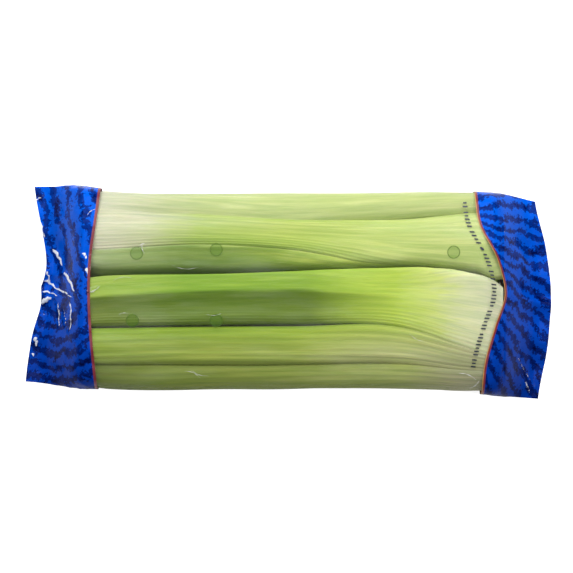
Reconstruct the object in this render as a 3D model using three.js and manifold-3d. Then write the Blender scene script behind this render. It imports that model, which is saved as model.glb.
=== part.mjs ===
// Two celery hearts packed head to tail in a clear produce bag with printed ends.
// Units are millimetres. The pack lies flat: +X along it, +Y across it and +Z up, with the
// origin under its middle.
import * as THREE from 'three';
import { mergeVertices } from 'three/addons/utils/BufferGeometryUtils.js';
import Module from 'manifold-3d';

const { clamp, lerp, smoothstep } = THREE.MathUtils;

// Overall sizes
const PACK_LENGTH = 316.8;
const BODY_WIDTH = 118.4;
const PACK_HEIGHT = 53;
const CLEAR_LENGTH = 227; // between the stripes, at the pack's edges
const HEART_LENGTH = 236;

// Film
const FILM_WALL = 0.5;
const FILM_SINK = 1.2; // how far the underside settles flat under the celery's weight
const BODY_ROUNDNESS = 3.3; // exponent of the body's section: 2 is an ellipse
const SEAL_ROUNDNESS = 2.3;
const SEAL_HALF_THICKNESS = 1;
const SEAL_HEIGHT = 17; // of the sealed edges above the table
const SEAL_START = 0.86; // the seal's inner edge, along the flattening end
const END_ROOM = 1.5; // film stays full this far past the hearts
const PLEAT_DEPTH = 1.7;
const PLEAT_COUNT = 4.5;
const PLEAT_DRIFT = 17; // the pleats lean by a radian over this length
const STRIPE_WIDTH = 2;
const PRINT_GAP = 0.3; // between neighbouring zones of the film
const VENT_DIAMETER = 7.2;
const VENTS = [[-90, 23.5], [-42.6, 25.7], [-92.4, -16.4], [-42.6, -16.4], [98.4, 24.2]];

// Outlines seen from above. Each row runs at equal steps, and its comment says from where to where.
// Film beyond half the body's width, from the left corner to the right corner
const TOP_FLARE = [4.6, 4.6, 1.5, 0.6, 0.6, 0.8, 1, 1.4, 1.6, 0.4, -5.9];
const BOTTOM_FLARE = [-5.8, -2.4, -0.7, -0.7, -1.2, -1.2, -1.2, -1.2, -0.4, 2.6, 5.1];
// Cut edges short of half the pack's length, from the lower corner to the upper corner
const LEFT_CUT = [0.6, 4, 9.5, 10, 13, 10.4, 5.8];
const RIGHT_CUT = [7.9, 3, 0.7, 0, 0.5, 3.3, 9.5];
// Stripes beyond half the clear length, in the same order
const LEFT_STRIPE = [1.1, 2.8, 4.3, 4.9, 4, 1.3, -0.9];
const RIGHT_STRIPE = [2.7, 4.6, 10, 16.2, 12, 1.2, -1.4];

// Hearts
const CELERY_CLEARANCE = 0.6; // to the film
const HEART_GAP = 0.8; // between the two hearts
const DIVIDE_TOP = [13, 14, 15.5, 18.5, 9]; // Y of the plane between the hearts at the top
const DIVIDE_BOTTOM = -11; // and underneath
const BUTT_LENGTH = 13;
const BUTT_REACH = 0.84; // of the heart's outline, where the stalks leave it
const BUTT_RADIUS = 32; // at most, round the heart's centre
const BUTT_FACE_SHARE = 0.68; // of the butt's width, at its cut face
const BUTT_GAP = 0.4;
const BASE_TAPER = 0.1; // share of the length in which a heart narrows to its butt
const STALK_GAP = 0.55;
const STALK_THICKNESS = 8.5;
const EDGE_THINNING = 0.5; // of the thickness, at a stalk's edges
const EDGE_ROLL = 0.11; // of the outline, how far a stalk's edges turn in
const CORNER_SOFTNESS = 9; // exponent that rounds a heart's corners: less is rounder
const RIB_HEIGHT = 0.45;
const RING_GAP = 0.9; // between the outer and the inner stalks
const INNER_RADIUS = 13.5; // at most, round the heart's centre
const INNER_THICKNESS = 4;
const INNER_COUNT = 3;
const INNER_TRIM = 3; // each inner stalk is cut this much shorter than the one before
const INNER_TWIST = 0.9; // radians along the heart
const CORE_GAP = 0.9;
const CORE_SHARE = 0.8; // of the heart's length
const FLARE_SHARE = 0.35; // share of the length from the butt to where stalks run straight

// Each outer stalk lies between two angles round its heart, counted from +Y towards +Z, given at
// the butt, where the stalks run straight, and at the trimmed ends. Reach is its share of the
// outline and trim how far short it is cut.
const HEART_A = {
  name: 'heart_a',
  centre: [30.5, 25.8],
  butt: -1,
  edges: [[-42, -38, -30], [20, 25, 47], [90, 92, 133], [136, 136, 172], [222, 220, 232]],
  stalks: [
    { name: 'side', reach: 0.97, trim: 2 },
    { name: 'front', reach: 1, trim: 0 },
    { name: 'deep', reach: 0.86, trim: 4 },
    { name: 'inner_side', reach: 0.98, trim: 1 },
    { name: 'back', reach: 1, trim: 3 },
  ],
};
const HEART_B = {
  name: 'heart_b',
  centre: [-27.5, 25.8],
  butt: 1,
  edges: [[30, 31, 32], [104, 75, 78], [122, 124, 128], [202, 205, 206], [292, 290, 288]],
  stalks: [
    { name: 'front', reach: 1, trim: 0 },
    { name: 'middle', reach: 0.9, trim: 3 },
    { name: 'side', reach: 0.98, trim: 1 },
    { name: 'back', reach: 1, trim: 2 },
    { name: 'inner_side', reach: 0.98, trim: 4 },
  ],
};

// Fineness of the surfaces
const FILM_AROUND = 40; // an even number
const SLEEVE_STEPS = 9;
const END_STEPS = 7;
const STALK_STEPS = 9;
const INNER_STEPS = 7;
const STALK_ACROSS = 11; // an odd number, so that both edges fall in a groove
const INNER_ACROSS = 6;
const BUTT_AROUND = 22;
const CORE_AROUND = 9;
const CORE_STEPS = 4;
const BUTT_STEPS = 3;
const VENT_SIDES = 16;

const film = (color, opacity) => new THREE.MeshStandardMaterial({
  color, roughness: 0.22, metalness: 0, transparent: opacity < 1, opacity,
});
const flesh = (color) => new THREE.MeshStandardMaterial({ color, roughness: 0.5, metalness: 0 });
const materials = {
  clearFilm: () => film(0xf2f6f4, 0.3),
  bluePrint: () => film(0x0a48c4, 1),
  redPrint: () => film(0xa02a34, 1),
  outerStalk: () => flesh(0x9cc45c),
  innerStalk: () => flesh(0xc9dd8c),
  butt: () => flesh(0xe9e8cd),
};

// A smooth curve through heights set at equal steps from 0 to 1.
function along(heights, s) {
  const place = clamp(s, 0, 1) * (heights.length - 1);
  const i = Math.min(Math.floor(place), heights.length - 2);
  const before = heights[Math.max(i - 1, 0)];
  const after = heights[Math.min(i + 2, heights.length - 1)];
  const f = place - i;
  const bend = heights[i + 1] - heights[i];
  const rise = (heights[i + 1] - before) / 2;
  const run = (after - heights[i]) / 2;
  return heights[i] + f * rise + f * f * (3 * bend - 2 * rise - run)
    + f * f * f * (rise + run - 2 * bend);
}

const share = (x) => x / PACK_LENGTH + 0.5;
const topEdge = (x) => BODY_WIDTH / 2 + along(TOP_FLARE, share(x));
const bottomEdge = (x) => -BODY_WIDTH / 2 - along(BOTTOM_FLARE, share(x));

// Lines across the pack, for a place across it from -1 at the lower edge to 1 at the upper one.
const across = (heights, side) => along(heights, (side + 1) / 2);
const leftCut = (side) => across(LEFT_CUT, side) - PACK_LENGTH / 2;
const rightCut = (side) => PACK_LENGTH / 2 - across(RIGHT_CUT, side);
const leftStripe = (side) => -CLEAR_LENGTH / 2 - across(LEFT_STRIPE, side);
const rightStripe = (side) => CLEAR_LENGTH / 2 + across(RIGHT_STRIPE, side);

const bodyHalf = PACK_HEIGHT - (PACK_HEIGHT + FILM_SINK) / 2;
const flatFrom = HEART_LENGTH / 2 + END_ROOM;
const power = (value, exponent) => Math.sign(value) * Math.abs(value) ** exponent;

// How far across the pack a turn round the section lies, from -1 to 1
const sideAt = (turn) => power(Math.cos(turn * 2 * Math.PI), 2 / BODY_ROUNDNESS);

// A point of the film: x along the pack, turn round its section from the upper edge over the top,
// and how deep under the outer surface.
function filmPoint(x, turn, depth) {
  const angle = turn * 2 * Math.PI;
  const side = sideAt(turn);
  const cut = x < 0 ? leftCut(side) : rightCut(side);
  const flat = clamp((Math.abs(x) - flatFrom) / (Math.abs(cut) - flatFrom), 0, 1);
  const flatness = smoothstep(flat, 0, SEAL_START);
  const roundness = lerp(BODY_ROUNDNESS, SEAL_ROUNDNESS, flatness);
  const half = (topEdge(x) - bottomEdge(x)) / 2;
  const tall = lerp(bodyHalf + FILM_SINK, SEAL_HALF_THICKNESS, flatness);
  const pleat = Math.sin(side * PLEAT_COUNT * Math.PI + x / PLEAT_DRIFT) * PLEAT_DEPTH * flatness;
  const y = (topEdge(x) + bottomEdge(x)) / 2
    + power(Math.cos(angle), 2 / roundness) * (half - depth);
  const z = lerp(PACK_HEIGHT - bodyHalf - FILM_SINK, SEAL_HEIGHT, flatness) + pleat
    + power(Math.sin(angle), 2 / roundness) * (tall - depth);
  return [x, y, Math.max(z, depth)];
}

// Joins rings of points into faces. Each ring is a list of vertex numbers.
class Skin {
  points = [];
  faces = [];

  ring(points) {
    const start = this.points.length;
    this.points.push(...points);
    return points.map((_, i) => start + i);
  }

  // The band between two rings of equal length
  band(a, b) {
    for (let i = 0; i < a.length; i += 1) {
      const j = (i + 1) % a.length;
      this.faces.push([a[i], b[i], b[j]], [a[i], b[j], a[j]]);
    }
  }

  // A ring closed across, where each point faces its partner on the way back
  cap(ring, outwards) {
    const last = ring.length - 1;
    for (let i = 0; i < last - i; i += 1) {
      const quad = [ring[i], ring[i + 1], ring[last - i - 1], ring[last - i]];
      if (!outwards) quad.reverse();
      this.faces.push([quad[0], quad[1], quad[3]]);
      if (i + 1 < last - i - 1) this.faces.push([quad[1], quad[2], quad[3]]);
    }
  }

  geometry() {
    const made = new THREE.BufferGeometry();
    made.setAttribute('position', new THREE.Float32BufferAttribute(this.points.flat(), 3));
    made.setIndex(this.faces.flat());
    return made;
  }
}

const steps = (count) => Array.from({ length: count + 1 }, (_, i) => i / count);

// Lines at equal steps from one line across the pack to another
const between = (from, to, count) => steps(count).map((s) => (side) => (
  lerp(from(side), to(side), s)
));

// The film's section along a line across the pack. The upper edge falls between the first and the
// last point, so that a ring closes flat against itself.
function filmRing(line, depth) {
  return Array.from({ length: FILM_AROUND }, (_, i) => {
    const turn = (i + 0.5) / FILM_AROUND;
    return filmPoint(line(sideAt(turn)), turn, depth);
  });
}

// A length of film through lines across the pack, open at both ends
function filmTube(lines) {
  const skin = new Skin();
  const outer = lines.map((line) => skin.ring(filmRing(line, 0)));
  const inner = lines.map((line) => skin.ring(filmRing(line, FILM_WALL)));
  const last = lines.length - 1;
  for (let i = 0; i < last; i += 1) {
    skin.band(outer[i + 1], outer[i]);
    skin.band(inner[i], inner[i + 1]);
  }
  skin.band(outer[0], inner[0]);
  skin.band(inner[last], outer[last]);
  return skin.geometry();
}

// A printed end, open towards the body and sealed flat at its cut edge
function filmEnd(mouth, cut, count) {
  const sealLine = (side) => {
    const reach = flatFrom + (Math.abs(cut(side)) - flatFrom) * SEAL_START;
    return Math.sign(cut(side)) * reach;
  };
  const skin = new Skin();
  const ahead = cut(0) > 0;
  const outer = between(mouth, cut, count).map((line) => skin.ring(filmRing(line, 0)));
  const inner = between(mouth, sealLine, count).map((line) => (
    skin.ring(filmRing(line, FILM_WALL))
  ));
  const band = (a, b) => (ahead ? skin.band(b, a) : skin.band(a, b));
  for (let i = 0; i < count; i += 1) {
    band(outer[i], outer[i + 1]);
    band(inner[i + 1], inner[i]);
  }
  band(inner[0], outer[0]);
  skin.cap(outer[count], ahead);
  skin.cap(inner[count], !ahead);
  return skin.geometry();
}

// Y of the plane between the hearts, which leans over heart A
const divide = (x, z) => lerp(DIVIDE_BOTTOM, along(DIVIDE_TOP, share(x)), z / PACK_HEIGHT);

// Whether a place lies inside the film
function inFilm(x, y, z) {
  const inset = FILM_WALL + CELERY_CLEARANCE;
  const middle = (topEdge(x) + bottomEdge(x)) / 2;
  const half = (topEdge(x) - bottomEdge(x)) / 2 - inset;
  const tall = bodyHalf + FILM_SINK - inset;
  const rise = z - (PACK_HEIGHT - bodyHalf - FILM_SINK);
  const round = (Math.abs(y - middle) / half) ** BODY_ROUNDNESS
    + (Math.abs(rise) / tall) ** BODY_ROUNDNESS;
  return round < 1 && z > inset;
}

// Whether a place lies on a heart's side of the plane between the hearts
function onSide(heart, x, y, z) {
  return (y - divide(x, z)) * Math.sign(heart.centre[0]) > HEART_GAP / 2;
}

// How far from a heart's centre a test holds, at an angle
function holdsTo(heart, angle, test) {
  let near = 0;
  let far = PACK_LENGTH;
  for (let i = 0; i < 20; i += 1) {
    const middle = (near + far) / 2;
    const y = heart.centre[0] + middle * Math.cos(angle);
    const z = heart.centre[1] + middle * Math.sin(angle);
    if (test(y, z)) near = middle;
    else far = middle;
  }
  return near;
}

// How far a heart reaches from its centre at an angle, rounded where two limits meet
function reachAt(heart, x, angle) {
  const film = holdsTo(heart, angle, (y, z) => inFilm(x, y, z));
  const side = holdsTo(heart, angle, (y, z) => onSide(heart, x, y, z));
  return (film ** -CORNER_SOFTNESS + side ** -CORNER_SOFTNESS) ** (-1 / CORNER_SOFTNESS);
}

// An angle between two stalks at a share of the length from the butt
function edgeAngle(edge, s) {
  const degrees = s < FLARE_SHARE
    ? lerp(edge[0], edge[1], smoothstep(s, 0, FLARE_SHARE))
    : lerp(edge[1], edge[2], (s - FLARE_SHARE) / (1 - FLARE_SHARE));
  return THREE.MathUtils.degToRad(degrees);
}

const xAt = (heart, s) => heart.butt * HEART_LENGTH * (0.5 - s);
const baseShare = (BUTT_LENGTH + BUTT_GAP) / HEART_LENGTH;

// A heart's outline at an angle, drawn in to its butt
const buttAt = (heart, x, angle) => Math.min(reachAt(heart, x, angle) * BUTT_REACH, BUTT_RADIUS);
function outlineAt(heart, s, angle) {
  const x = xAt(heart, s);
  return lerp(buttAt(heart, x, angle), reachAt(heart, x, angle), smoothstep(s, 0, BASE_TAPER));
}

// A place in a heart's section, in polar form round its centre
function heartPoint(heart, x, angle, radius) {
  const y = heart.centre[0] + radius * Math.cos(angle);
  return [x, y, heart.centre[1] + radius * Math.sin(angle)];
}

// A body lofted through sections, each a closed ring of points running round +X
function loft(heart, sections) {
  const skin = new Skin();
  const ahead = heart.butt < 0;
  const rings = sections.map((points) => skin.ring(points));
  for (let i = 0; i + 1 < rings.length; i += 1) {
    if (ahead) skin.band(rings[i + 1], rings[i]);
    else skin.band(rings[i], rings[i + 1]);
  }
  skin.cap(rings[0], !ahead);
  skin.cap(rings[rings.length - 1], ahead);
  return skin.geometry();
}

// A stalk's crescent section between two angles, ribbed outside and hollowed towards the middle
function crescent(heart, s, from, to, count, outside, thickness, rib) {
  const x = xAt(heart, s);
  const outer = [];
  const inner = [];
  for (const t of steps(count - 1)) {
    const across = 2 * t - 1;
    const angle = lerp(from, to, t);
    const ridge = (Math.round(t * (count - 1)) % 2) * rib;
    const surface = outside(heart, s, angle) * (1 - EDGE_ROLL * (across ** 2 + across ** 4) / 2);
    const deep = surface - thickness * (1 - EDGE_THINNING * across ** 2);
    outer.push(heartPoint(heart, x, angle, surface - rib + ridge));
    inner.unshift(heartPoint(heart, x, angle, deep));
  }
  return [...outer, ...inner];
}

function outerStalk(heart, k) {
  const { reach, trim } = heart.stalks[k];
  const outside = (...place) => outlineAt(...place) * reach;
  const last = 1 - trim / HEART_LENGTH;
  return loft(heart, steps(STALK_STEPS).map((u) => {
    const s = lerp(baseShare, last, u);
    const from = edgeAngle(heart.edges[k], s);
    const turn = k + 1 === heart.edges.length ? 2 * Math.PI : 0;
    const to = edgeAngle(heart.edges[(k + 1) % heart.edges.length], s) + turn;
    const slack = STALK_GAP / 2 / (reachAt(heart, xAt(heart, s), (from + to) / 2) / 2);
    return crescent(
      heart, s, from + slack, to - slack, STALK_ACROSS, outside, STALK_THICKNESS, RIB_HEIGHT,
    );
  }));
}

// How far the inner stalks reach, inside the outer ones
function hollowAt(heart, s, angle) {
  const least = Math.min(...heart.stalks.map((stalk) => stalk.reach));
  const room = outlineAt(heart, s, angle) * least;
  return Math.min(room - STALK_THICKNESS - RING_GAP, INNER_RADIUS);
}

function innerStalk(heart, k) {
  const trim = INNER_TRIM * (k + 1);
  return loft(heart, steps(INNER_STEPS).map((u) => {
    const s = lerp(baseShare, 1 - trim / HEART_LENGTH, u);
    const from = (k / INNER_COUNT) * 2 * Math.PI + s * INNER_TWIST;
    const slack = STALK_GAP / hollowAt(heart, s, from);
    const to = from + (2 * Math.PI) / INNER_COUNT;
    return crescent(
      heart, s, from + slack, to - slack, INNER_ACROSS, hollowAt, INNER_THICKNESS, 0,
    );
  }));
}

function core(heart) {
  const angles = Array.from({ length: CORE_AROUND }, (_, i) => (i / CORE_AROUND) * 2 * Math.PI);
  return loft(heart, steps(CORE_STEPS).map((u) => {
    const s = lerp(baseShare, CORE_SHARE, u);
    const room = Math.min(...angles.map((angle) => hollowAt(heart, s, angle)));
    const radius = room - INNER_THICKNESS - CORE_GAP;
    return angles.map((angle) => heartPoint(heart, xAt(heart, s), angle, radius));
  }));
}

function butt(heart) {
  return loft(heart, steps(BUTT_STEPS).map((u) => {
    const s = u * (BUTT_LENGTH / HEART_LENGTH);
    const size = lerp(BUTT_FACE_SHARE, 1, Math.sin((u * Math.PI) / 2));
    return Array.from({ length: BUTT_AROUND }, (_, i) => {
      const angle = (i / BUTT_AROUND) * 2 * Math.PI;
      const x = xAt(heart, s);
      return heartPoint(heart, x, angle, buttAt(heart, x, angle) * size);
    });
  }));
}

// Vent holes through the top of the film
const wasm = await Module();
wasm.setup();

function solid(geometry) {
  const bare = geometry.clone();
  bare.deleteAttribute('normal');
  bare.deleteAttribute('uv');
  const merged = mergeVertices(bare);
  return new wasm.Manifold(new wasm.Mesh({
    numProp: 3,
    vertProperties: merged.attributes.position.array,
    triVerts: new Uint32Array(merged.index.array),
  }));
}

function fromSolid(shape) {
  const { vertProperties, triVerts } = shape.getMesh();
  const made = new THREE.BufferGeometry();
  made.setAttribute('position', new THREE.Float32BufferAttribute(vertProperties, 3));
  made.setIndex([...triVerts]);
  return made;
}

function punched(geometry) {
  let shape = solid(geometry);
  for (const [x, y] of VENTS) {
    const punch = new THREE.CylinderGeometry(
      VENT_DIAMETER / 2, VENT_DIAMETER / 2, PACK_HEIGHT, VENT_SIDES,
    );
    punch.rotateX(Math.PI / 2).translate(x, y, PACK_HEIGHT);
    shape = shape.subtract(solid(punch));
  }
  return fromSolid(shape);
}

const group = new THREE.Group();

function add(name, geometry, material) {
  const mesh = new THREE.Mesh(geometry, material);
  mesh.name = name;
  group.add(mesh);
}

const shifted = (line, by) => (side) => line(side) + by;
const stripeHalf = STRIPE_WIDTH / 2;
const zoneEdge = stripeHalf + PRINT_GAP;
const sleeveLeft = shifted(leftStripe, zoneEdge);
const sleeveRight = shifted(rightStripe, -zoneEdge);
// The sleeve keeps its full section up to here, before it starts to flatten
const sleeveFull = (side) => Math.min(sleeveRight(side) - STRIPE_WIDTH, flatFrom);
const sleeve = filmTube([...between(sleeveLeft, sleeveFull, SLEEVE_STEPS), sleeveRight]);
add('clear_sleeve', punched(sleeve), materials.clearFilm());
for (const [end, stripe, cut, out] of [
  ['left', leftStripe, leftCut, -1], ['right', rightStripe, rightCut, 1],
]) {
  const band = filmTube([shifted(stripe, -stripeHalf), shifted(stripe, stripeHalf)]);
  add(`stripe_${end}`, band, materials.redPrint());
  const printed = filmEnd(shifted(stripe, out * zoneEdge), cut, END_STEPS);
  add(`printed_end_${end}`, printed, materials.bluePrint());
}

for (const heart of [HEART_A, HEART_B]) {
  add(`${heart.name}_butt`, butt(heart), materials.butt());
  heart.stalks.forEach(({ name }, k) => {
    add(`${heart.name}_stalk_${name}`, outerStalk(heart, k), materials.outerStalk());
  });
  for (let k = 0; k < INNER_COUNT; k += 1) {
    add(`${heart.name}_inner_stalk_${k + 1}`, innerStalk(heart, k), materials.innerStalk());
  }
  add(`${heart.name}_core`, core(heart), materials.innerStalk());
}

// Bring the origin under the middle of the pack, at the height it rests on
const bounds = new THREE.Box3().setFromObject(group);
const middle = bounds.getCenter(new THREE.Vector3());
group.children.forEach((mesh) => mesh.position.set(-middle.x, -middle.y, -bounds.min.z));

export default group;
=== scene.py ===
import math
import bpy
import numpy as np
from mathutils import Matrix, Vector, noise
from mathutils.bvhtree import BVHTree


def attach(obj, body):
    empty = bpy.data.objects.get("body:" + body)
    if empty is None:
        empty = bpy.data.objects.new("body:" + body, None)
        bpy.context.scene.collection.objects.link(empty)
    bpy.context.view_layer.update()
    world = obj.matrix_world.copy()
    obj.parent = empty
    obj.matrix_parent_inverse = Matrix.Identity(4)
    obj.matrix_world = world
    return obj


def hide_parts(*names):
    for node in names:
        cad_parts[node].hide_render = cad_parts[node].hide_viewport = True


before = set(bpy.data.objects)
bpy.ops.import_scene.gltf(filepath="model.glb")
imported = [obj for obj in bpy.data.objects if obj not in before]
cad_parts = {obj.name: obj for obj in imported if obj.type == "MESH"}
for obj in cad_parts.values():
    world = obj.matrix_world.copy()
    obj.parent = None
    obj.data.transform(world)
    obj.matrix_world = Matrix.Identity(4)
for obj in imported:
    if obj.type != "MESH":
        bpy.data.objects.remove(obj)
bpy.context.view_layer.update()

MM = 0.001

# The pack's sizes in millimetres, as the CAD part has them
PACK_LENGTH = 316.8
BODY_WIDTH = 118.4
PACK_HEIGHT = 53
CLEAR_LENGTH = 227
HEART_LENGTH = 250.5
HEART_MIDDLE = 3.6
FLAT_FROM = 120.5
FILM_SINK = 1.2
BODY_ROUNDNESS = 3.3
SEAL_ROUNDNESS = 2.3
SEAL_HALF_THICKNESS = 0.7
SEAL_HEIGHT = 17
SEAL_START = 0.86
TABLE_GAP = 0.02
STRIPE_WIDTH = 1.6
ORANGE_WIDTH = 0.45
VENT_RADIUS = 3.6
VENTS = [(-90, 23.5), (-42.6, 25.7), (-92.4, -16.4), (-42.6, -16.4), (98.4, 24.2)]
CELERY_INSET = 0.15
HEART_GAP = 0.5

# Outlines seen from above, at equal steps, as the CAD part has them
TOP_FLARE = [4.6, 4.6, 1.5, 0.6, 0.6, 0.8, 1, 1.4, 1.6, 0.4, -5.9]
BOTTOM_FLARE = [-5.8, -2.4, -0.7, -0.7, -1.2, -1.2, -1.2, -1.2, -0.4, 2.6, 5.1]
LEFT_CUT = [0.6, 4, 9.5, 10, 13, 10.4, 5.8]
RIGHT_CUT = [7.9, 3.0, 0.7, 0, 0.5, 3.3, 9.5]
LEFT_STRIPE = [1.1, 2.8, 4.3, 4.9, 4, 1.3, -0.9]
RIGHT_STRIPE = [2.7, 4.6, 10, 16.2, 12, 1.2, -1.4]
DIVIDE_TOP = [13, 14, 15.5, 18.5, 9]
DIVIDE_BOTTOM = -11

BODY_HALF = PACK_HEIGHT - (PACK_HEIGHT + FILM_SINK) / 2
BODY_MIDDLE = PACK_HEIGHT - BODY_HALF - FILM_SINK

# Stalks
BUTT_LENGTH = 13
BUTT_FACE_SHARE = 0.84
BASE_TAPER = 0.14
TIP_FILL = 8
TIP_FILL_ALONG = (112, 126)
STALK_START = 0.8
STALK_THICKNESS = 8.5
EDGE_THINNING = 0.45
EDGE_ROLL = 0.13
RIDGE_AT = 0.3
RIDGE_DROP = 2.2
RIB_DEPTH = 0.22
CORNER_SOFTNESS = 20


# ---------------------------------------------------------------- curves and sections

def power(value, exponent):
    return np.sign(value) * np.abs(value) ** exponent


def lerp(a, b, f):
    return a + (b - a) * f


def smoothstep(value, low, high):
    f = np.clip((value - low) / (high - low), 0, 1)
    return f * f * (3 - 2 * f)


def along(heights, s):
    """A smooth curve through heights set at equal steps from 0 to 1."""
    heights = np.asarray(heights, float)
    place = np.clip(s, 0, 1) * (len(heights) - 1)
    i = np.minimum(place.astype(int), len(heights) - 2)
    here = heights[i]
    there = heights[i + 1]
    rise = (there - heights[np.maximum(i - 1, 0)]) / 2
    run = (heights[np.minimum(i + 2, len(heights) - 1)] - here) / 2
    f = place - i
    bend = there - here
    return here + f * rise + f ** 2 * (3 * bend - 2 * rise - run) + f ** 3 * (rise + run - 2 * bend)


def top_edge(x):
    return BODY_WIDTH / 2 + along(TOP_FLARE, x / PACK_LENGTH + 0.5)


def bottom_edge(x):
    return -BODY_WIDTH / 2 - along(BOTTOM_FLARE, x / PACK_LENGTH + 0.5)


def left_cut(side):
    return along(LEFT_CUT, (side + 1) / 2) - PACK_LENGTH / 2


def right_cut(side):
    return PACK_LENGTH / 2 - along(RIGHT_CUT, (side + 1) / 2)


def left_stripe(side):
    return -CLEAR_LENGTH / 2 - along(LEFT_STRIPE, (side + 1) / 2)


def right_stripe(side):
    return CLEAR_LENGTH / 2 + along(RIGHT_STRIPE, (side + 1) / 2)


def side_at(turn):
    """How far across the pack a turn round the section lies, from -1 to 1."""
    return power(np.cos(turn * 2 * math.pi), 2 / BODY_ROUNDNESS)


def round_table(steps=2400):
    """Even walks round the section, set against the turns that they reach."""
    turns = np.linspace(0, 1, steps + 1)
    y = side_at(turns) * BODY_WIDTH / 2
    z = power(np.sin(turns * 2 * math.pi), 2 / BODY_ROUNDNESS) * PACK_HEIGHT / 2
    walked = np.concatenate([[0], np.cumsum(np.hypot(np.diff(y), np.diff(z)))])
    return walked / walked[-1], turns


WALKS, TURNS = round_table()


def turn_at(walk):
    return np.interp(walk % 1, WALKS, TURNS)


def walk_at_top(side):
    """The walk round the section to a place across the pack's top."""
    turn = np.arccos(power(side, BODY_ROUNDNESS / 2)) / (2 * math.pi)
    return np.interp(turn, TURNS, WALKS)


def flatness_at(x, side):
    cut = np.where(x < 0, left_cut(side), right_cut(side))
    flat = np.clip((np.abs(x) - FLAT_FROM) / (np.abs(cut) - FLAT_FROM), 0, 1)
    return smoothstep(flat, 0, SEAL_START)


def film_surface(x, turn, sink):
    """Points of the film, sunk towards the celery by sink."""
    angle = turn * 2 * math.pi
    side = side_at(turn)
    flatness = flatness_at(x, side)
    roundness = lerp(BODY_ROUNDNESS, SEAL_ROUNDNESS, flatness)
    half = (top_edge(x) - bottom_edge(x)) / 2
    tall = lerp(BODY_HALF + FILM_SINK, SEAL_HALF_THICKNESS, flatness)
    middle = (top_edge(x) + bottom_edge(x)) / 2
    y = middle + power(np.cos(angle), 2 / roundness) * half
    z = lerp(BODY_MIDDLE, SEAL_HEIGHT, flatness) + power(np.sin(angle), 2 / roundness) * tall
    spine = np.clip(y, middle - half * 0.55, middle + half * 0.55)
    rise = z - lerp(BODY_MIDDLE, SEAL_HEIGHT, flatness)
    length = np.maximum(np.hypot(y - spine, rise), 1e-6)
    y = y - sink * (y - spine) / length
    z = z - sink * rise / length
    return np.stack([x, y, np.maximum(z, TABLE_GAP)], -1)


# ---------------------------------------------------------------- the two hearts

# Stalk edges are angles round the heart at five equal steps from butt to tips,
# and each edge's crease is as deep as its share at the same steps
HEARTS = {
    "heart_a": {
        "centre": (30.5, 25.8),
        "butt": -1,
        "butt_share": 0.95,
        "tip_taper": 0.17,
        "edges": [(-42, -40, -36, -34, -30), (44, 53, 61, 54, 44), (99, 92, 98, 124, 141),
                  (168, 165, 165, 170, 178), (222, 221, 220, 225, 232)],
        "creases": [(1, 1, 1, 1, 1), (0.1, 0.1, 0.3, 1, 0.7), (0.05, 0.12, 0.1, 0.05, 0),
                    (0.3, 0.4, 0.3, 0.1, 0), (1, 1, 1, 1, 1)],
        "stalks": [("side", 1, 2), ("front", 1, 0), ("deep", 0.97, 4),
                   ("inner_side", 0.98, 1), ("back", 1, 3)],
    },
    "heart_b": {
        "centre": (-27.5, 25.8),
        "butt": 1,
        "butt_share": 0.93,
        "tip_taper": 0.02,
        "edges": [(16, 33, 31, 31, 35), (117, 72, 69.5, 70.5, 72.5), (135, 127.5, 129.5, 129.5, 130),
                  (205, 202, 203, 204, 206), (290, 292, 291, 290, 288)],
        "creases": [(0.2, 0.1, 0.15, 0.4, 0.35), (0, 0.6, 1, 1, 1), (0, 0.6, 0.8, 0.85, 0.85),
                    (1, 1, 1, 1, 1), (1, 1, 1, 1, 1)],
        "stalks": [("front", 1, 0), ("middle", 0.97, 3), ("side", 1, 1),
                   ("back", 1, 2), ("inner_side", 0.98, 4)],
    },
}


def in_film(x, y, z):
    middle = (top_edge(x) + bottom_edge(x)) / 2
    half = (top_edge(x) - bottom_edge(x)) / 2 - CELERY_INSET
    tall = BODY_HALF + FILM_SINK - CELERY_INSET
    across = np.abs((y - middle) / half) ** BODY_ROUNDNESS
    upwards = np.abs((z - BODY_MIDDLE) / tall) ** BODY_ROUNDNESS
    return (across + upwards < 1) & (z > CELERY_INSET)


def on_side(heart, x, y, z):
    divide = lerp(DIVIDE_BOTTOM, along(DIVIDE_TOP, x / PACK_LENGTH + 0.5), z / PACK_HEIGHT)
    if heart["butt"] < 0:
        divide = divide - TIP_FILL * smoothstep(x, *TIP_FILL_ALONG)
    return (y - divide) * np.sign(heart["centre"][0]) > HEART_GAP / 2


def holds_to(heart, x, angle, test):
    near = np.zeros(np.broadcast(x, angle).shape)
    far = near + 200
    for _ in range(18):
        middle = (near + far) / 2
        y = heart["centre"][0] + middle * np.cos(angle)
        z = heart["centre"][1] + middle * np.sin(angle)
        held = test(x, y, z)
        near = np.where(held, middle, near)
        far = np.where(held, far, middle)
    return near


def reach_at(heart, x, angle):
    film = holds_to(heart, x, angle, in_film)
    side = holds_to(heart, x, angle, lambda *place: on_side(heart, *place))
    return (film ** -CORNER_SOFTNESS + side ** -CORNER_SOFTNESS) ** (-1 / CORNER_SOFTNESS)


def x_at(heart, s):
    return HEART_MIDDLE + heart["butt"] * HEART_LENGTH * (0.5 - s)


def outline_at(heart, s, angle):
    """How far the heart reaches at an angle, drawn in towards the butt and rounded at its face."""
    reach = reach_at(heart, x_at(heart, s), angle)
    drawn = lerp(heart["butt_share"], 1, smoothstep(s, 0, BASE_TAPER))
    rounding = np.sin(np.clip(s * HEART_LENGTH / BUTT_LENGTH, 0, 1) * math.pi / 2) ** 0.8
    tips = 1 - heart["tip_taper"] * smoothstep(s, 0.94, 1)
    return reach * drawn * tips * lerp(BUTT_FACE_SHARE, 1, rounding)


def edge_angle(edge, s):
    return np.radians(along(edge, s))


# ---------------------------------------------------------------- meshes

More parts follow.
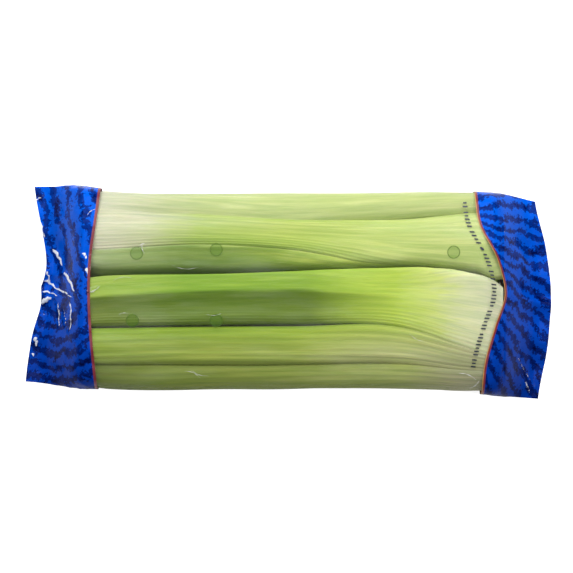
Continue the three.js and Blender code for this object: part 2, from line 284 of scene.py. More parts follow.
def grid_faces(rows, columns, closed):
    """Faces of a grid of vertices, whose rows close on themselves if asked."""
    a = np.arange(rows * columns).reshape(rows, columns)
    if closed:
        a = np.concatenate([a, a[:, :1]], 1)
    return np.stack([a[:-1, :-1], a[:-1, 1:], a[1:, 1:], a[1:, :-1]], -1).reshape(-1, 4)


def mesh_object(name, points, faces, layers=None):
    """A mesh from points in millimetres, with named numbers kept on its vertices."""
    mesh = bpy.data.meshes.new(name)
    mesh.from_pydata((np.asarray(points) * MM).tolist(), [], [list(map(int, f)) for f in faces])
    for layer, values in (layers or {}).items():
        kept = mesh.attributes.new(layer, "FLOAT", "POINT")
        kept.data.foreach_set("value", np.asarray(values, np.float32).ravel())
    mesh.validate()
    mesh.update()
    mesh.polygons.foreach_set("use_smooth", [True] * len(mesh.polygons))
    made = bpy.data.objects.new(name, mesh)
    bpy.context.collection.objects.link(made)
    return made


def noise_field(points, scale, seed):
    """Smooth noise at points, with a scale in millimetres along each axis."""
    scaled = np.asarray(points) / np.asarray(scale) + seed
    return np.array([noise.noise(Vector(p)) for p in scaled.reshape(-1, 3)]).reshape(scaled.shape[:-1])


def crease_field(points, scale, seed):
    """Sharp-ridged folds, as film makes when it is gathered."""
    scaled = np.asarray(points) / np.asarray(scale) + seed
    flat = [noise.voronoi(Vector(p))[0] for p in scaled.reshape(-1, 3)]
    return np.array([d[1] - d[0] for d in flat]).reshape(scaled.shape[:-1])


def join(parts):
    """Point and face lists put one after the other."""
    points, faces, start = [], [], 0
    for p, f in parts:
        points.append(p)
        faces += [[int(v) + start for v in face] for face in f]
        start += len(p)
    return np.concatenate(points), faces


# ---------------------------------------------------------------- stalks

STALK_STATIONS = 150
STALK_AROUND = 96
RIB_COUNT = {"front": 12, "side": 10, "middle": 7, "deep": 7, "inner_side": 8, "back": 10}


def ridge_drop(t, s):
    """The flatter face under the ridge of the stalk that lies in front."""
    below = RIDGE_AT - t
    face = smoothstep(below, -0.05, 0.3) * (1 - smoothstep(below, 0.5, 1.35))
    return RIDGE_DROP * face * smoothstep(s, 0.22, 0.42)


def stalk_points(heart, k, seed):
    """A crescent stalk with rounded edges and ribs, drawn in to the butt."""
    name, reach, trim = heart["stalks"][k]
    s = np.linspace(STALK_START / HEART_LENGTH, 1 - trim / HEART_LENGTH, STALK_STATIONS)[:, None]
    phi = (np.arange(STALK_AROUND) / STALK_AROUND * 2 * math.pi)[None, :]
    t = power(np.cos(phi), 0.8)
    w = power(np.sin(phi), 0.45)
    following = (k + 1) % len(heart["edges"])
    low = edge_angle(heart["edges"][k], s)
    high = edge_angle(heart["edges"][following], s) + (2 * math.pi if following == 0 else 0)
    low_crease = along(heart["creases"][k], s)
    high_crease = along(heart["creases"][following], s)
    angle = lerp(high - lerp(-0.06, 0.012, high_crease), low + lerp(-0.06, 0.012, low_crease), (t + 1) / 2)
    roll = EDGE_ROLL * np.clip((high - low) / 1.2, 0.35, 1) * np.where(t > 0, low_crease, high_crease)
    surface = outline_at(heart, s, angle) * reach * (1 - roll * (t ** 2 + t ** 6) / 2)
    thickness = STALK_THICKNESS * (1 - EDGE_THINNING * t ** 2)
    outside = np.clip(w, 0, 1)
    bend = 0.8 * np.sin(s * 7 + seed) + 0.5 * np.sin(t * 5 + seed * 2)
    ribs = 1 - np.abs(np.sin(t * math.pi * RIB_COUNT[name] / 2 + bend)) ** 0.8
    radius = surface - thickness * (1 - w) / 2
    radius = radius - RIB_DEPTH * 2 * ribs * outside
    if name == "front" and heart["butt"] > 0:
        radius = radius - ridge_drop(t, s) * outside
    x = x_at(heart, s) + 0 * angle
    y = heart["centre"][0] + radius * np.cos(angle)
    z = heart["centre"][1] + radius * np.sin(angle)
    wander = (noise_field(np.stack([x, y, z], -1), (45, 12, 12), seed * 3.7) - 0.3) * 0.9
    y = y + wander * np.cos(angle) * outside
    z = z + wander * np.sin(angle) * outside
    layers = {"from_butt": s + 0 * t, "across": t + 0 * s, "outside": w + 0 * s}
    return np.stack([x, y, z], -1), layers


def cap_faces(ring):
    """Closes a flat crescent end from its two sides."""
    n = len(ring)
    return [[ring[i], ring[i + 1], ring[(n - i - 1) % n], ring[(n - i) % n]] if i else
            [ring[0], ring[1], ring[n - 1]] for i in range(n // 2)]


def stalk(heart_name, k):
    heart = HEARTS[heart_name]
    points, layers = stalk_points(heart, k, k * 1.7 + (0 if heart["butt"] < 0 else 11))
    faces = grid_faces(STALK_STATIONS, STALK_AROUND, True)
    start = np.arange(STALK_AROUND)
    end = start + STALK_AROUND * (STALK_STATIONS - 1)
    flip = heart["butt"] > 0
    faces = [list(f[::-1]) if flip else list(f) for f in faces]
    ends = [list(f) for f in cap_faces(start)] + [list(f[::-1]) for f in cap_faces(end)]
    faces += [f[::-1] if flip else f for f in ends]
    flat = {name: values.ravel() for name, values in layers.items()}
    name = f"{heart_name}_stalk_{heart['stalks'][k][0]}"
    made = mesh_object(f"fine_{name}", points.reshape(-1, 3), faces, flat)
    return name, made, points.reshape(-1, 3), faces


def butt(heart_name):
    """The solid base inside the stalks, with its cut face slightly hollow."""
    heart = HEARTS[heart_name]
    angle = np.arange(96) / 96 * 2 * math.pi
    rings, marks = [], []
    for share in (0.05, 0.25, 0.5, 0.75, 0.92):
        rings.append((0.6 + 0.5 * share, share * 0.98))
        marks.append(-1)
    for depth in np.linspace(1.4, BUTT_LENGTH, 10):
        rings.append((depth, 1))
        marks.append(depth / BUTT_LENGTH)
    points = []
    for depth, share in rings:
        s = np.array(depth / HEART_LENGTH)
        radius = outline_at(heart, s, angle) * 0.8 * share
        lumps = 1 + 0.03 * np.cos(angle * 5 + 1) * share
        x = np.full(96, float(x_at(heart, s)))
        points.append(np.stack([x, heart["centre"][0] + radius * lumps * np.cos(angle),
                                heart["centre"][1] + radius * lumps * np.sin(angle)], -1))
    points = np.concatenate(points)
    rows = len(rings)
    faces = [list(f) for f in grid_faces(rows, 96, True)]
    faces.append(list(range(96))[::-1])
    faces.append(list(range(96 * (rows - 1), 96 * rows)))
    if heart["butt"] < 0:
        faces = [f[::-1] for f in faces]
    made = mesh_object(f"fine_{heart_name}_butt", points, faces, {"from_face": np.repeat(marks, 96)})
    return made, points, faces


# ---------------------------------------------------------------- film

FILM_ALONG = 320
FILM_AROUND = 330
SINK_MOST = 7
RAY_START = 5

# Where the film lets go of the celery, and where dents and pleats set in, along the pack
SINK_FADES_RIGHT = (131, 138)
SINK_FADES_LEFT = (116, 126)
DENTS_FROM = (129, 137)
PLEATS_FROM = (128, 139)

# Where the film is stretched tight over the pack's corners instead
TAUT_ALONG = (92, 108)
TAUT_ACROSS = (0.75, 0.93)

# Pinched folds in the ends: start, finish, width and height
FOLDS = [
    ((-142, 27), (-134.8, 14.5), 1.3, 1.3),
    ((-135, 13.5), (-126.4, -1.5), 1.15, 1.3),
    ((-152.5, 50), (-146, 30), 1.2, 1.05),
    ((-156, 53), (-146, 58), 1.0, 1.05),
    ((-122.5, 24), (-119.5, 19), 1.4, 1.2),
    ((-120.5, 15), (-118.5, 10), 1.5, 1.3),
    ((-147.5, 8), (-138, 1), 1.2, 1.2),
    ((-141, 3), (-127, -4), 1.0, 1.1),
    ((-149, 1), (-137, -2.5), 0.9, 1.1),
    ((-149, -7), (-141, -2.5), 1.9, 1.35),
    ((-146, 14), (-143.5, 5), 1.0, 1.1),
    ((-138.6, -4), (-137.6, -24), 1.2, 0.85),
    ((-130.2, -2), (-130.5, -27), 1.1, 0.9),
    ((-135, -8), (-133, -22), 1.0, 0.8),
    ((-153, -26), (-151.6, -33), 1.6, 1.3),
    ((-154.6, -36), (-153.6, -39), 1.2, 1.2),
    ((-120, 0.5), (-111, 4.5), 1.1, 1.3),
    ((-86.6, 30), (-88, 26.5), 0.8, 1.2),
    ((-86.2, 26.5), (-84.6, 23.5), 0.8, 1.2),
    ((134, -34), (149, -60), 1.8, 0.7),
    ((141, -52), (146, -62), 1.5, 0.8),
]


# Slivers of painted glint on the clear part, white film laid where it is pinched and round a vent's edge:
# start, finish and width
PAINTED_GLINT_LINES = [
    ((-120.5, 0), (-111.5, 4.4), 1.1),
    ((-88.5, 27.4), (-84.8, 29.3), 0.8),
    ((-86.8, 28.3), (-85.2, 23.6), 0.7),
    ((-119.5, 46), (-114, 50), 0.5),
    ((-70, 17), (-52, 15.6), 0.25),
    ((-101, -13.2), (-94.5, -12.3), 0.3),
    ((-49, -12.6), (-39, -11.9), 0.25),
    ((-62, -46.5), (-52, -51), 0.3),
    ((-58, -45.5), (-47, -49.5), 0.25),
    ((-104, 7.2), (-92, 8.6), 0.25),
    ((72, -24), (82, -29), 0.25),
    ((101, -48), (112, -52), 0.5),
    ((108, -57), (114, -52), 0.6),
]


def blurred(values, along_x, around, passes=3):
    """Box blurs: open along the pack and closed round it."""
    for _ in range(passes):
        padded = np.pad(values, ((along_x, along_x), (0, 0)), mode="edge")
        values = sum(padded[i:i + len(values)] for i in range(2 * along_x + 1)) / (2 * along_x + 1)
        values = sum(np.roll(values, i, 1) for i in range(-around, around + 1)) / (2 * around + 1)
    return values


def lowest_near(values, along_x, around):
    padded = np.pad(values, ((along_x, along_x), (0, 0)), mode="edge")
    low = np.min([padded[i:i + len(values)] for i in range(2 * along_x + 1)], 0)
    return np.min([np.roll(low, i, 1) for i in range(-around, around + 1)], 0)


def film_sinks(celery):
    """How far the film sinks onto the celery, on a grid along and round the pack."""
    x, walk = np.meshgrid(np.linspace(-PACK_LENGTH / 2, PACK_LENGTH / 2, FILM_ALONG),
                          np.arange(FILM_AROUND) / FILM_AROUND, indexing="ij")
    turn = turn_at(walk)
    inwards = film_surface(x, turn, 1) - film_surface(x, turn, 0)
    start = film_surface(x, turn, 0) - inwards * RAY_START
    room = np.where(np.abs(x - HEART_MIDDLE) < HEART_LENGTH / 2, float(SINK_MOST), 0.3)
    for i, j in np.argwhere(np.abs(x) < HEART_LENGTH / 2 + HEART_MIDDLE + 3):
        hit = celery.ray_cast(Vector(start[i, j]), Vector(inwards[i, j]).normalized(), RAY_START + 12)
        if hit[3] is not None:
            room[i, j] = hit[3] - RAY_START
    slack = np.clip(room - 0.3, -4, SINK_MOST)
    taut = np.minimum(blurred(lowest_near(slack, 3, 4), 4, 5), slack)
    corner = smoothstep(np.abs(x), *TAUT_ALONG) * smoothstep(np.abs(side_at(turn)), *TAUT_ACROSS)
    return np.where(taut > 0, taut * (1 - corner), taut)


def sampled(grid, x, walk):
    """Values of a grid along and round the pack at any place."""
    i = np.clip((x / PACK_LENGTH + 0.5) * (FILM_ALONG - 1), 0, FILM_ALONG - 1.001)
    j = (walk % 1) * FILM_AROUND
    i0 = i.astype(int)
    j0 = j.astype(int) % FILM_AROUND
    j1 = (j0 + 1) % FILM_AROUND
    fi = i - i0
    fj = j - np.floor(j)
    low = lerp(grid[i0, j0], grid[i0, j1], fj)
    high = lerp(grid[i0 + 1, j0], grid[i0 + 1, j1], fj)
    return lerp(low, high, fi)


def folds_at(x, y, crest=False):
    """Height of the pinched folds at a place seen from above, or their share of it at the crest, which sets
    where glints are painted.
    """
    height = np.zeros(x.shape)
    for (ax, ay), (bx, by), width, rise in FOLDS:
        length = math.hypot(bx - ax, by - ay)
        ux, uy = (bx - ax) / length, (by - ay) / length
        walk = ((x - ax) * ux + (y - ay) * uy) / length
        bow = 0.8 * np.sin(walk * math.pi)
        kink = 0.25 * np.sin(walk * 19 + ax)
        off = ((x - ax) * -uy + (y - ay) * ux - bow - kink) / (width * lerp(1.25, 0.5, np.clip(walk, 0, 1)))
        ends = smoothstep(walk, -0.15, 0.25) * (1 - smoothstep(walk, 0.7, 1.15))
        most = min(1, rise / 1.3) if crest else rise
        height = np.maximum(height, most * ends * np.exp(-np.abs(off) ** 1.6))
    return height


def film_relief(points, x):
    """Creases in the film: faint on the clear part and deeper in the gathered ends."""
    end = smoothstep(np.abs(x), 100, 126)
    left = smoothstep(-x, 112, 126)
    pulls = noise_field(points, (55, 10, 14), 9.1) * (0.1 + 0.4 * end)
    folds = crease_field(points, (19, 12, 15), 2.3)
    small = crease_field(points, (8, 5.5, 8), 6.1)
    crumple = end * (1.1 + 0.7 * left) * (0.4 - folds) + end * (0.35 + 0.35 * left) * (0.4 - small)
    top = points[..., 2] > SEAL_HEIGHT
    return pulls + crumple + folds_at(x, points[..., 1]) * top


def film_points(x, walk, sinks, lift=0.0):
    """Film points at places along and round the pack, lifted off it if asked."""
    turn = turn_at(walk)
    side = side_at(turn)
    flat = flatness_at(x, side)
    start = film_surface(x, turn, 0)
    outwards = start - film_surface(x, turn, 1)
    relief = film_relief(start, x)
    relief = np.maximum(relief, lerp(-0.12, -2, smoothstep(np.abs(x), *DENTS_FROM)))
    under = smoothstep(-np.sin(turn * 2 * math.pi), 0.5, 0.75)
    held = (1 - smoothstep(x, *SINK_FADES_RIGHT)) * (1 - smoothstep(-x, *SINK_FADES_LEFT))
    push = relief * (1 - flat) - sampled(sinks, x, walk) * held
    push = lerp(push, np.clip(push, -0.1, 0), under * (1 - flat))
    push = np.clip(push, -SINK_MOST, 3) + lift
    points = start + outwards * push[..., None]
    mirrored = start.copy()
    mirrored[..., 2] = SEAL_HEIGHT
    beyond = smoothstep(np.abs(x), *PLEATS_FROM)
    wave = np.sin(side * 4.5 * math.pi + x / 17) * 1.5 + film_relief(mirrored, x) * 0.9
    pleats = (wave + folds_at(x, start[..., 1])) * flat * beyond
    points[..., 2] = np.clip(points[..., 2] + pleats, TABLE_GAP, PACK_HEIGHT)
    return points, side


def between(start, stop, count):
    return [lambda side, f=f: lerp(start(side), stop(side), f) for f in np.linspace(0, 1, count)]


def shifted(line, by):
    return lambda side: line(side) + by


def ripple_left(x, y):
    """Bands counted from a line down the upper half, and bowed round its foot below."""
    foot = y + 6
    across = x + 139 + 0.26 * np.maximum(foot, 0)
    return np.hypot(across, np.minimum(foot, 0)) / 8.2


def ripple_right(x, y):
    """Bands that fan out from a point inside the pack, and crowd towards its lower edge."""
    fan = np.arctan2(50 - y, x - 80)
    return 6.5 * fan + 4 * fan ** 2


def punch_vents(points, faces):
    """Cuts round holes through the top of a patch, with vertices brought onto each rim."""
    keep = np.ones(len(faces), bool)
    for vx, vy in VENTS:
        near = np.hypot(points[:, 0] - vx, points[:, 1] - vy)
        rim = (points[:, 2] > BODY_MIDDLE) & (np.abs(near - VENT_RADIUS) < 0.5)
        scale = VENT_RADIUS / np.maximum(near[rim], 1e-6)
        points[rim, 0] = vx + (points[rim, 0] - vx) * scale
        points[rim, 1] = vy + (points[rim, 1] - vy) * scale
        centres = points[faces].mean(1)
        inside = np.hypot(centres[:, 0] - vx, centres[:, 1] - vy) < VENT_RADIUS - 0.1
        keep &= ~(inside & (centres[:, 2] > BODY_MIDDLE))
    return points, faces[keep]


def film_object(name, lines, sinks, ripple=None):
    """One zone of the film between two lines. A zone with ripples is an end, and is sealed."""
    walk = (np.arange(FILM_AROUND) + 0.5) / FILM_AROUND
    side = side_at(turn_at(walk))
    x = np.stack([line(side) for line in lines])
    points, side = film_points(x, walk[None, :] + 0 * x, sinks)
    faces = grid_faces(len(lines), FILM_AROUND, True)
    flat = points.reshape(-1, 3)
    if name == "film_clear":
        flat, faces = punch_vents(flat, faces)
    faces = [list(f[::-1]) for f in faces]
    if ripple:
        ring = (len(lines) - 1) * FILM_AROUND + np.arange(FILM_AROUND)
        for j in range(FILM_AROUND // 2 - 1):
            faces.append([ring[j], ring[j + 1], ring[FILM_AROUND - 2 - j], ring[FILM_AROUND - 1 - j]])
    if ripple and x.mean() < 0:
        faces = [f[::-1] for f in faces]
    # The folds' crests, kept for the painted glints.
    crease = folds_at(flat[:, 0], flat[:, 1], crest=True) * (flat[:, 2] > SEAL_HEIGHT - 1)
    layers = {"across": side.ravel(), "crease": crease}
    if ripple:
        layers["ripple"] = ripple(flat[:, 0], flat[:, 1])
    return mesh_object(name, flat, faces, layers)


def vent_rims(sinks):
    """Thin raised rings of melted film round the vents, tinted dark green as painted shade at the holes'
    edges.
    """
    steps, tube = 40, 8
    turns = np.arange(steps) / steps * 2 * math.pi
    rolls = np.arange(tube) / tube * 2 * math.pi
    parts = []
    for vx, vy in VENTS:
        ring = []
        for roll in rolls:
            radius = VENT_RADIUS + 0.28 * np.cos(roll)
            x = vx + radius * np.cos(turns)
            y = vy + radius * np.sin(turns)
            ring.append(top_patch(x, y, sinks, 0.05 + 0.22 * np.sin(roll)))
        points = np.stack(ring, 1).reshape(-1, 3)
        body = np.concatenate([grid_faces(steps, tube, True),
                               [[(steps - 1) * tube + j, (steps - 1) * tube + (j + 1) % tube,
                                 (j + 1) % tube, j] for j in range(tube)]])
        parts.append((points, body))
    points, faces = join(parts)
    return mesh_object("film_vent_rims", points, faces)


def top_patch(x, y, sinks, lift):
    """Points lifted off the film's top at places seen from above."""
    middle = (top_edge(x) + bottom_edge(x)) / 2
    half = (top_edge(x) - bottom_edge(x)) / 2
    points, _ = film_points(x, walk_at_top((y - middle) / half), sinks, lift)
    points[:, 0] = x
    points[:, 1] = y
    return points


def vent_flaps(sinks):
    """The punched discs of film, which hang just inside the vents; their dark green tint is painted shade in
    the holes.
    """
    parts = []
    turns = np.arange(32) / 32 * 2 * math.pi
    for vx, vy in VENTS:
        radius = VENT_RADIUS - 0.15
        points = top_patch(vx + radius * np.cos(turns), vy + radius * np.sin(turns), sinks, -0.12)
        middle = points.mean(0, keepdims=True)
        parts.append((np.concatenate([points, middle]), [[i, (i + 1) % 32, 32] for i in range(32)]))
    points, faces = join(parts)
    return mesh_object("film_vent_flaps", points, faces)


def painted_glint_slivers(sinks):
    """Slivers of white film as painted glints, where the clear part is pinched."""
    parts = []
    steps = np.linspace(0, 1, 14)
    for k, ((ax, ay), (bx, by), width) in enumerate(PAINTED_GLINT_LINES):
        length = math.hypot(bx - ax, by - ay)
        nx, ny = -(by - ay) / length, (bx - ax) / length
        bow = 0.12 * length * np.sin(steps * math.pi) * (1 if k % 2 else -1)
        half = width / 2 * np.sin(steps * math.pi) ** 0.7 * (0.75 + 0.4 * np.sin(steps * 17 + k * 2.1))
        x = ax + (bx - ax) * steps + nx * bow
        y = ay + (by - ay) * steps + ny * bow
        rows = [top_patch(x + nx * half * side, y + ny * half * side, sinks, lift)
                for side, lift in ((-1, 0.06), (0, 0.3), (1, 0.06))]
        parts.append((np.concatenate(rows), grid_faces(3, 14, False)))
    points, faces = join(parts)
    return mesh_object("film_painted_glint_slivers", points, faces)


PRINT_PITCH = 0.035
PRINT_OFFSET = -7.2
PRINT_GROUPS = [2, 5, 4, 0, 4, 3, 7, 6, 7, 3]


def print_marks(sinks):
    """A row of plain ticks beside the right-hand stripe, in groups, with a round dot."""
    line = shifted(right_stripe, PRINT_OFFSET)
    parts = []
    place = 0.9
    for g, count in enumerate(PRINT_GROUPS):
        for k in range(max(count, 1)):
            side = place - PRINT_PITCH * (k + 0.5)
            tall = 1.5 if (g * 3 + k) % 4 else 1.1
            wide = 0.0075
            if count == 0:
                tall, wide = 1.05, 0.018
            angle = np.linspace(0, 2 * math.pi, 13)[:-1]
            corner = power(np.cos(angle), 0.35 if count else 1), power(np.sin(angle), 0.35 if count else 1)
            across = side + wide * corner[1]
            x = line(across) + tall * corner[0]
            points, _ = film_points(x, walk_at_top(across), sinks, 0.12)
            parts.append((points, [list(range(12))]))
        place -= PRINT_PITCH * (max(count, 1) + 0.6)
    points, faces = join(parts)
    return mesh_object("film_print_marks", points, faces)


# ---------------------------------------------------------------- materials

def new_material(name):
    made = bpy.data.materials.new(name)
    made.use_nodes = True
    nodes = made.node_tree.nodes
    return made, nodes, made.node_tree.links, nodes["Principled BSDF"]


def add_node(nodes, kind, **values):
    """A node with its plain properties and its numbered or named inputs set."""
    made = nodes.new(kind)
    for key, value in values.items():
        if key in made.inputs:
            made.inputs[key].default_value = value
        else:
            setattr(made, key, value)
    return made


def attribute(nodes, name):
    return add_node(nodes, "ShaderNodeAttribute", attribute_name=name).outputs["Fac"]


def maths(nodes, links, operation, a, b=None, c=None):
    made = nodes.new("ShaderNodeMath")
    made.operation = operation
    for socket, value in zip(made.inputs, (a, b, c)):
        if value is None:
            continue
        if isinstance(value, (int, float)):
            socket.default_value = value
        else:
            links.new(value, socket)
    return made.outputs[0]


def ramp(nodes, links, factor, stops):
    made = nodes.new("ShaderNodeValToRGB")
    elements = made.color_ramp.elements
    while len(elements) < len(stops):
        elements.new(0.5)
    for element, (place, colour) in zip(elements, stops):
        element.position = place
        element.color = (*colour, 1)
    links.new(factor, made.inputs[0])
    return made.outputs[0]


def mixed(nodes, links, factor, a, b, blend="MIX"):
    made = nodes.new("ShaderNodeMix")
    made.data_type = "RGBA"
    made.blend_type = blend
    for socket, value in ((made.inputs[0], factor), (made.inputs[6], a), (made.inputs[7], b)):
        if isinstance(value, (int, float)):
            socket.default_value = value
        elif isinstance(value, tuple):
            socket.default_value = (*value, 1)
        else:
            links.new(value, socket)
    return made.outputs[2]


def place_on(nodes, links, stretch=None):
    """Places on the piece itself, drawn out by a stretch if one is given."""
    place = nodes.new("ShaderNodeTexCoord").outputs["Object"]
    if stretch is None:
        return place
    made = add_node(nodes, "ShaderNodeMapping", Scale=stretch)
    links.new(place, made.inputs["Vector"])
    return made.outputs[0]


def noise_at(nodes, links, place, **values):
    made = add_node(nodes, "ShaderNodeTexNoise", **values)
    links.new(place, made.inputs["Vector"])
    return made.outputs[0]


def string_group():
    """Celery's strings and watery streaks: a colour mask and a height, from place on the stalk."""
    group = bpy.data.node_groups.new("stalk_strings", "ShaderNodeTree")
    for name, kind in (("Along", "Float"), ("Across", "Float"), ("Strings", "Float"), ("Seed", "Float")):
        group.interface.new_socket(name, in_out="INPUT", socket_type=f"NodeSocket{kind}")
    for name in ("Streaks", "Height"):
        group.interface.new_socket(name, in_out="OUTPUT", socket_type="NodeSocketFloat")
    nodes, links = group.nodes, group.links
    inputs = nodes.new("NodeGroupInput")
    outputs = nodes.new("NodeGroupOutput")
    place = nodes.new("ShaderNodeCombineXYZ")
    links.new(maths(nodes, links, "MULTIPLY", inputs.outputs["Across"], inputs.outputs["Strings"]),
              place.inputs[0])
    links.new(maths(nodes, links, "MULTIPLY", inputs.outputs["Along"], 5.0), place.inputs[1])
    links.new(inputs.outputs["Seed"], place.inputs[2])
    streaks = noise_at(nodes, links, place.outputs[0], Scale=1.0, Detail=4.0, Roughness=0.6)
    fine = nodes.new("ShaderNodeCombineXYZ")
    links.new(maths(nodes, links, "MULTIPLY", inputs.outputs["Across"],
                    maths(nodes, links, "MULTIPLY", inputs.outputs["Strings"], 4.0)), fine.inputs[0])
    links.new(maths(nodes, links, "MULTIPLY", inputs.outputs["Along"], 9.0), fine.inputs[1])
    hairs = noise_at(nodes, links, fine.outputs[0], Scale=1.0, Detail=3.0, Roughness=0.6)
    links.new(maths(nodes, links, "ADD", maths(nodes, links, "MULTIPLY", streaks, 0.65),
                    maths(nodes, links, "MULTIPLY", hairs, 0.35)), outputs.inputs["Streaks"])
    links.new(maths(nodes, links, "ADD", streaks, hairs), outputs.inputs["Height"])
    return group


DARK_STREAK = (0.8, 0.88, 0.8)
PALE_STREAK = (1.1, 1.07, 1.12)


def stalk_material(name, stops, painted_light, seed, group):
    """Skin that greens from the butt up, with painted light and shade across it from its low to its high
    edge.
    """
    made, nodes, links, shader = new_material(name)
    along_stalk = attribute(nodes, "from_butt")
    across = attribute(nodes, "across")
    strings = nodes.new("ShaderNodeGroup")
    strings.node_tree = group
    links.new(along_stalk, strings.inputs["Along"])
    links.new(across, strings.inputs["Across"])
    strings.inputs["Strings"].default_value = 8.0
    strings.inputs["Seed"].default_value = seed
    wander = add_node(nodes, "ShaderNodeTexNoise", Scale=22.0, Detail=2.0)
    drift = maths(nodes, links, "MULTIPLY_ADD", strings.outputs["Streaks"], 0.16,
                  maths(nodes, links, "MULTIPLY_ADD", wander.outputs[0], 0.1, along_stalk))
    grown = ramp(nodes, links, maths(nodes, links, "SUBTRACT", drift, 0.13), stops)
    lit = mixed(nodes, links, ramp(nodes, links, strings.outputs["Streaks"],
                                   [(0.42, (0, 0, 0)), (0.62, (1, 1, 1))]),
                mixed(nodes, links, 1.0, grown, DARK_STREAK, "MULTIPLY"),
                mixed(nodes, links, 1.0, grown, PALE_STREAK, "MULTIPLY"))
    # Painted light and shade across the stalk: darker under a ridge and towards edges that turn from the
    # light, lighter on lit rims, faded in and out along the stalk.
    place = maths(nodes, links, "MULTIPLY_ADD", across, 0.5, 0.5)
    place = maths(nodes, links, "MULTIPLY_ADD", strings.outputs["Streaks"], 0.12,
                  maths(nodes, links, "SUBTRACT", place, 0.06))
    painted_light_share = ramp(nodes, links, along_stalk,
                [(painted_light["from"], (0, 0, 0)), (painted_light["full"], (1, 1, 1)),
                 (painted_light.get("held", 0.98), (1, 1, 1)), (painted_light.get("gone", 1), (0.1, 0.1, 0.1))])
    with_painted_light = mixed(nodes, links, painted_light_share, lit,
                  mixed(nodes, links, 1.0, lit, ramp(nodes, links, place, painted_light["stops"]), "MULTIPLY"))
    links.new(with_painted_light, shader.inputs["Base Color"])
    shader.inputs["Roughness"].default_value = 0.45
    shader.inputs["Specular IOR Level"].default_value = 0.15
    shader.inputs["Subsurface Weight"].default_value = 0.12
    shader.inputs["Subsurface Radius"].default_value = (0.6, 1.0, 0.25)
    shader.inputs["Subsurface Scale"].default_value = 0.003
    bump = add_node(nodes, "ShaderNodeBump", Strength=0.25, Distance=0.0004)
    links.new(strings.outputs["Height"], bump.inputs["Height"])
    links.new(bump.outputs[0], shader.inputs["Normal"])
    return made


def butt_material():
    made, nodes, links, shader = new_material("cut_butt")
    from_face = attribute(nodes, "from_face")
    rings = add_node(nodes, "ShaderNodeTexNoise", Scale=160.0, Detail=5.0, Roughness=0.65)
    flesh = ramp(nodes, links, rings.outputs[0], [(0.3, (0.62, 0.56, 0.38)), (0.62, (0.83, 0.80, 0.63))])
    browned = ramp(nodes, links, rings.outputs[0], [(0.35, (0.36, 0.22, 0.10)), (0.65, (0.62, 0.47, 0.28))])
    face = ramp(nodes, links, from_face, [(0.0, (1, 1, 1)), (0.08, (0, 0, 0))])
    links.new(mixed(nodes, links, maths(nodes, links, "MULTIPLY", face, 0.6), flesh, browned),
              shader.inputs["Base Color"])
    shader.inputs["Roughness"].default_value = 0.6
    bump = add_node(nodes, "ShaderNodeBump", Strength=0.4, Distance=0.0005)
    links.new(rings.outputs[0], bump.inputs["Height"])
    links.new(bump.outputs[0], shader.inputs["Normal"])
    return made


def crinkle_group():
    """Fine crinkles of thin film, as a height."""
    group = bpy.data.node_groups.new("film_crinkle", "ShaderNodeTree")
    group.interface.new_socket("Size", in_out="INPUT", socket_type="NodeSocketFloat")
    group.interface.new_socket("Height", in_out="OUTPUT", socket_type="NodeSocketFloat")
    nodes, links = group.nodes, group.links
    inputs = nodes.new("NodeGroupInput")
    outputs = nodes.new("NodeGroupOutput")
    place = place_on(nodes, links, (0.45, 1.0, 1.0))
    folds = add_node(nodes, "ShaderNodeTexVoronoi", feature="DISTANCE_TO_EDGE")
    links.new(place, folds.inputs["Vector"])
    links.new(inputs.outputs["Size"], folds.inputs["Scale"])
    soft = add_node(nodes, "ShaderNodeTexNoise", Detail=4.0, Roughness=0.55)
    links.new(place, soft.inputs["Vector"])
    links.new(inputs.outputs["Size"], soft.inputs["Scale"])
    links.new(maths(nodes, links, "ADD", maths(nodes, links, "MULTIPLY", folds.outputs["Distance"], 0.5),
                    soft.outputs[0]), outputs.inputs["Height"])
    return group


def crinkled(nodes, links, shader, group, size, strength, distance):
    crinkle = nodes.new("ShaderNodeGroup")
    crinkle.node_tree = group
    crinkle.inputs["Size"].default_value = size
    bump = add_node(nodes, "ShaderNodeBump", Strength=strength, Distance=distance)
    links.new(crinkle.outputs["Height"], bump.inputs["Height"])
    links.new(bump.outputs[0], shader.inputs["Normal"])


def painted_glints(nodes, links):
    """A ragged mask of painted glints: white laid on the crests of pinched folds, where the film catches the
    light.
    """
    torn = noise_at(nodes, links, place_on(nodes, links), Scale=600.0, Detail=3.0, Roughness=0.7)
    crest = maths(nodes, links, "MULTIPLY", attribute(nodes, "crease"),
                  maths(nodes, links, "MULTIPLY_ADD", torn, 1.6, 0.2))
    return ramp(nodes, links, crest, [(0.54, (0, 0, 0)), (0.7, (1, 1, 1))])


def clear_film_material(group):
    made, nodes, links, shader = new_material("clear_film")
    haze = noise_at(nodes, links, place_on(nodes, links, (0.25, 1.0, 1.0)),
                    Scale=70.0, Detail=4.0, Roughness=0.6)
    hazed = ramp(nodes, links, haze, [(0.5, (0.08, 0.10, 0.06)), (0.75, (0.7, 0.72, 0.68))])
    # White painted glints along the crests of the pinched folds.
    links.new(mixed(nodes, links, painted_glints(nodes, links), hazed, (0.97, 0.97, 0.97)),
              shader.inputs["Base Color"])
    shader.inputs["Roughness"].default_value = 0.14
    shader.inputs["Alpha"].default_value = 0.1
    shader.inputs["IOR"].default_value = 1.5
    shader.inputs["Specular IOR Level"].default_value = 0.7
    crinkled(nodes, links, shader, group, 70.0, 0.35, 0.0008)
    return made


